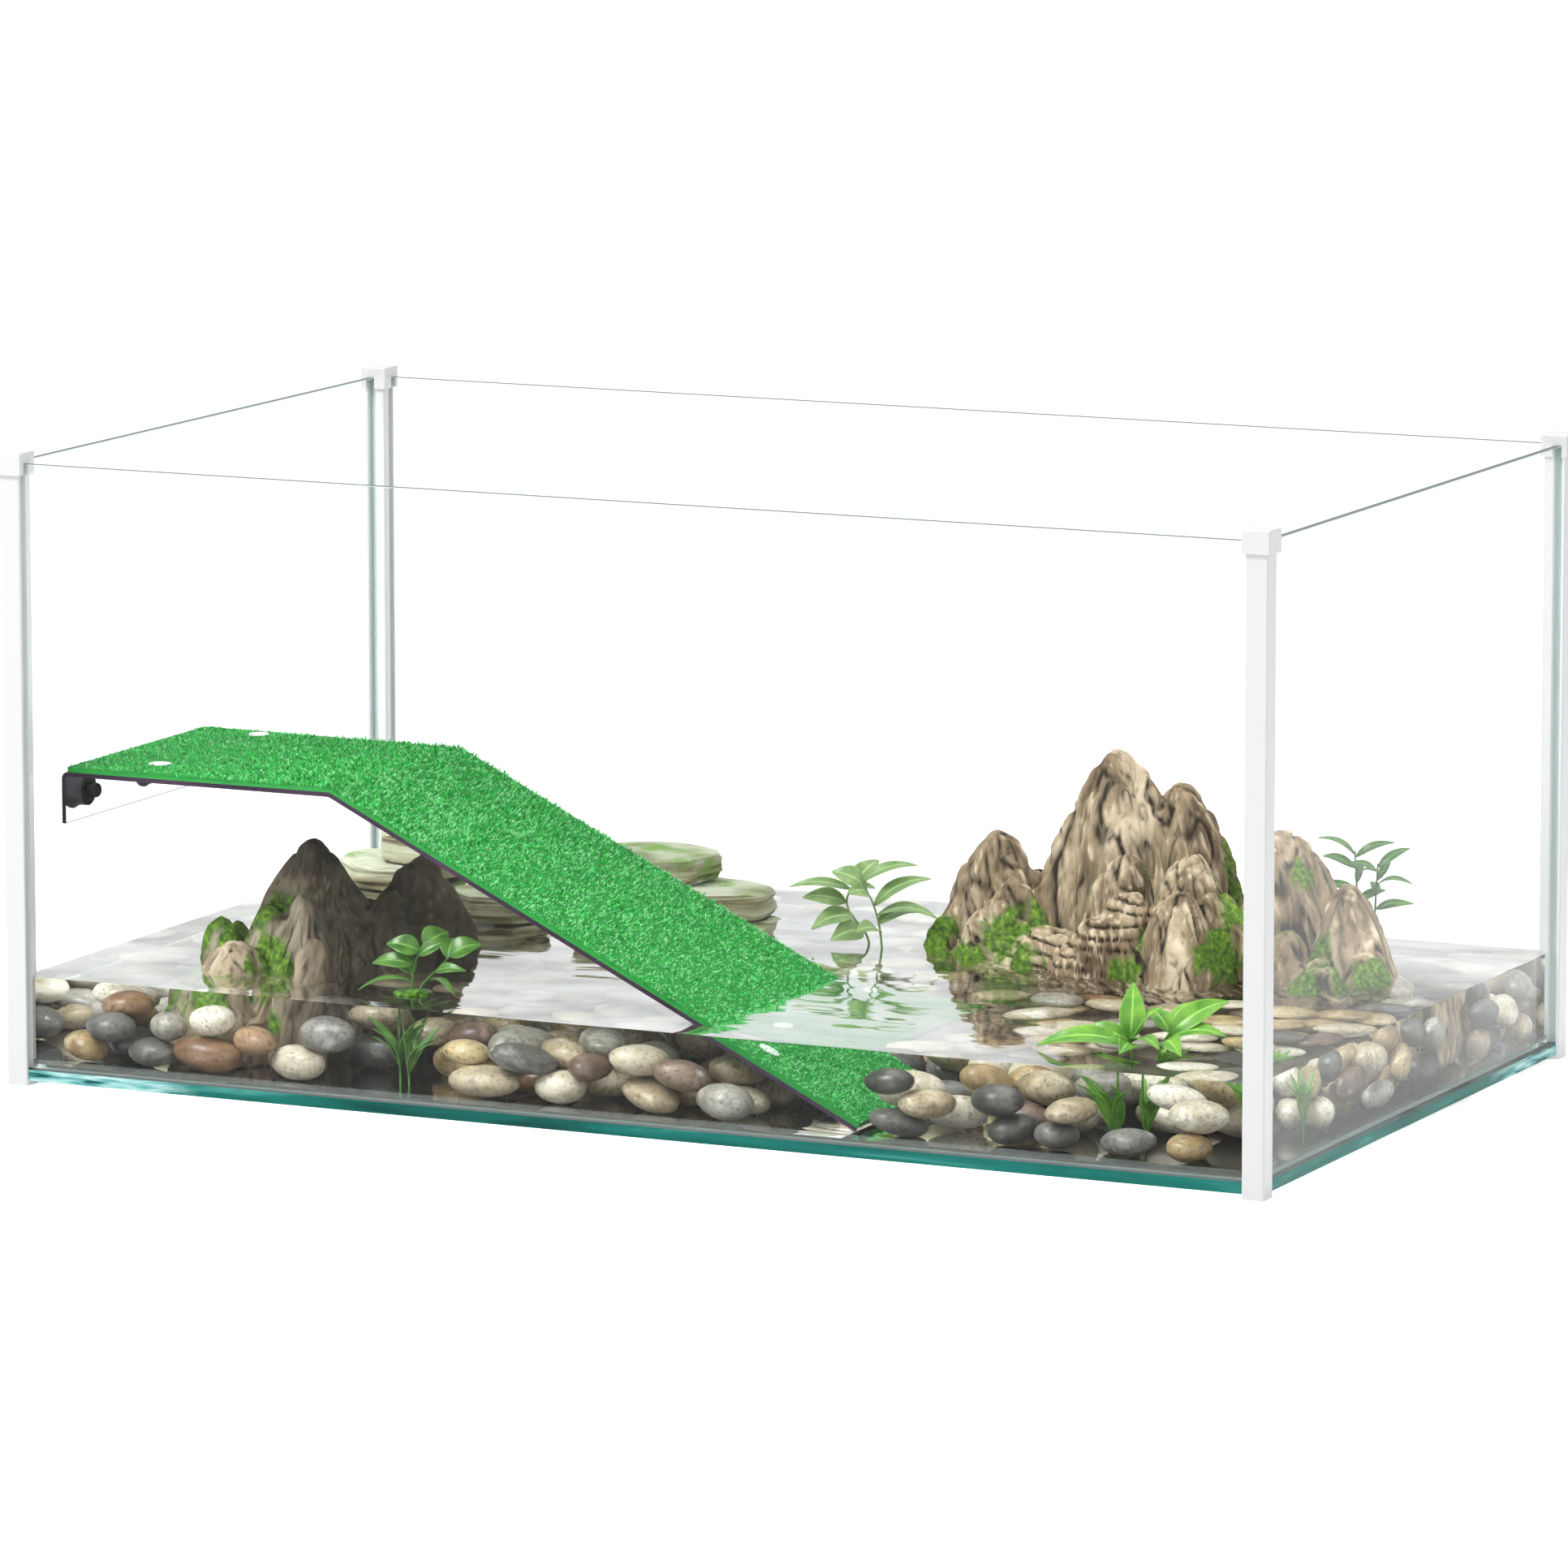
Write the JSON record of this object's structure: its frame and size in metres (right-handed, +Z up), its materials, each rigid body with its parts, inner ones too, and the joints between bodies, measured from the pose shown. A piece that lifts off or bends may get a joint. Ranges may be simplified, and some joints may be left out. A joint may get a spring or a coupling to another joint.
{
  "type": "turtle tank",
  "caption": "Open-topped glass turtle tank with white corner posts, a turf-covered basking ramp on suction cups, river pebbles, rock ornaments, slates, plants and shallow water",
  "frame": {"origin": "on the floor under the middle of the tank", "axes": "+X along the front to the right, +Y from front to back, +Z up"},
  "size_m": [0.6, 0.354, 0.28],
  "materials": {
    "pane_glass": "clear float glass, polished",
    "base_glass": "float glass with a teal edge",
    "green_leaf": "satin leaf",
    "white_plastic": "glossy white moulded plastic",
    "dark_soil": "fine dark grit",
    "brown_rock": "carved, matte",
    "pebble_cream": "water-worn, smooth satin",
    "pebble_dark_grey": "water-worn, smooth satin",
    "pebble_ochre": "water-worn, smooth satin",
    "pebble_pale_grey": "water-worn, smooth satin",
    "pebble_plum": "water-worn, smooth satin, pale vein",
    "pebble_russet": "water-worn, smooth satin",
    "pebble_sand": "water-worn, smooth satin",
    "pebble_slate_blue": "water-worn, smooth satin",
    "clear_acrylic": "clear acrylic sheet with dark polished edges",
    "tan_rock": "carved, matte",
    "clear_silicone": "clear silicone, glossy",
    "green_slate": "split slate, matte with green growth",
    "black_rubber": "soft black rubber, satin",
    "green_turf": "short looped turf pile",
    "white_rivet": "glossy white plastic",
    "water": "still clear water"
  },
  "bodies": {
    "root": {"back_pane": "pane_glass", "base_pane": "base_glass", "broad_leaf_plant": "green_leaf", "corner_post_back_left": "white_plastic", "corner_post_back_right": "white_plastic", "corner_post_front_left": "white_plastic", "corner_post_front_right": "white_plastic", "dark_substrate": "dark_soil", "fine_leaf_plant": "green_leaf", "front_pane": "pane_glass", "left_pane": "pane_glass", "left_rock": "brown_rock", "pebbles_cream": "pebble_cream", "pebbles_dark_grey": "pebble_dark_grey", "pebbles_ochre": "pebble_ochre", "pebbles_pale_grey": "pebble_pale_grey", "pebbles_plum": "pebble_plum", "pebbles_russet": "pebble_russet", "pebbles_sand": "pebble_sand", "pebbles_slate_blue": "pebble_slate_blue", "post_cap_back_left": "white_plastic", "post_cap_back_right": "white_plastic", "post_cap_front_left": "white_plastic", "post_cap_front_right": "white_plastic", "ramp_plate": "clear_acrylic", "right_pane": "pane_glass", "right_rock": "tan_rock", "round_leaf_plant": "green_leaf", "side_grass": "green_leaf", "silicone_bead": "clear_silicone", "slate_1": "green_slate", "slate_10": "green_slate", "slate_11": "green_slate", "slate_12": "green_slate", "slate_2": "green_slate", "slate_3": "green_slate", "slate_4": "green_slate", "slate_5": "green_slate", "slate_6": "green_slate", "slate_7": "green_slate", "slate_8": "green_slate", "slate_9": "green_slate", "slender_plant": "green_leaf", "suction_cup_back": "black_rubber", "suction_cup_front": "black_rubber", "turf_mat": "green_turf", "turf_rivet_1": "white_rivet", "turf_rivet_2": "white_rivet", "turf_rivet_3": "white_rivet", "turf_rivet_4": "white_rivet", "water": "water"}
  },
  "joints": []
}
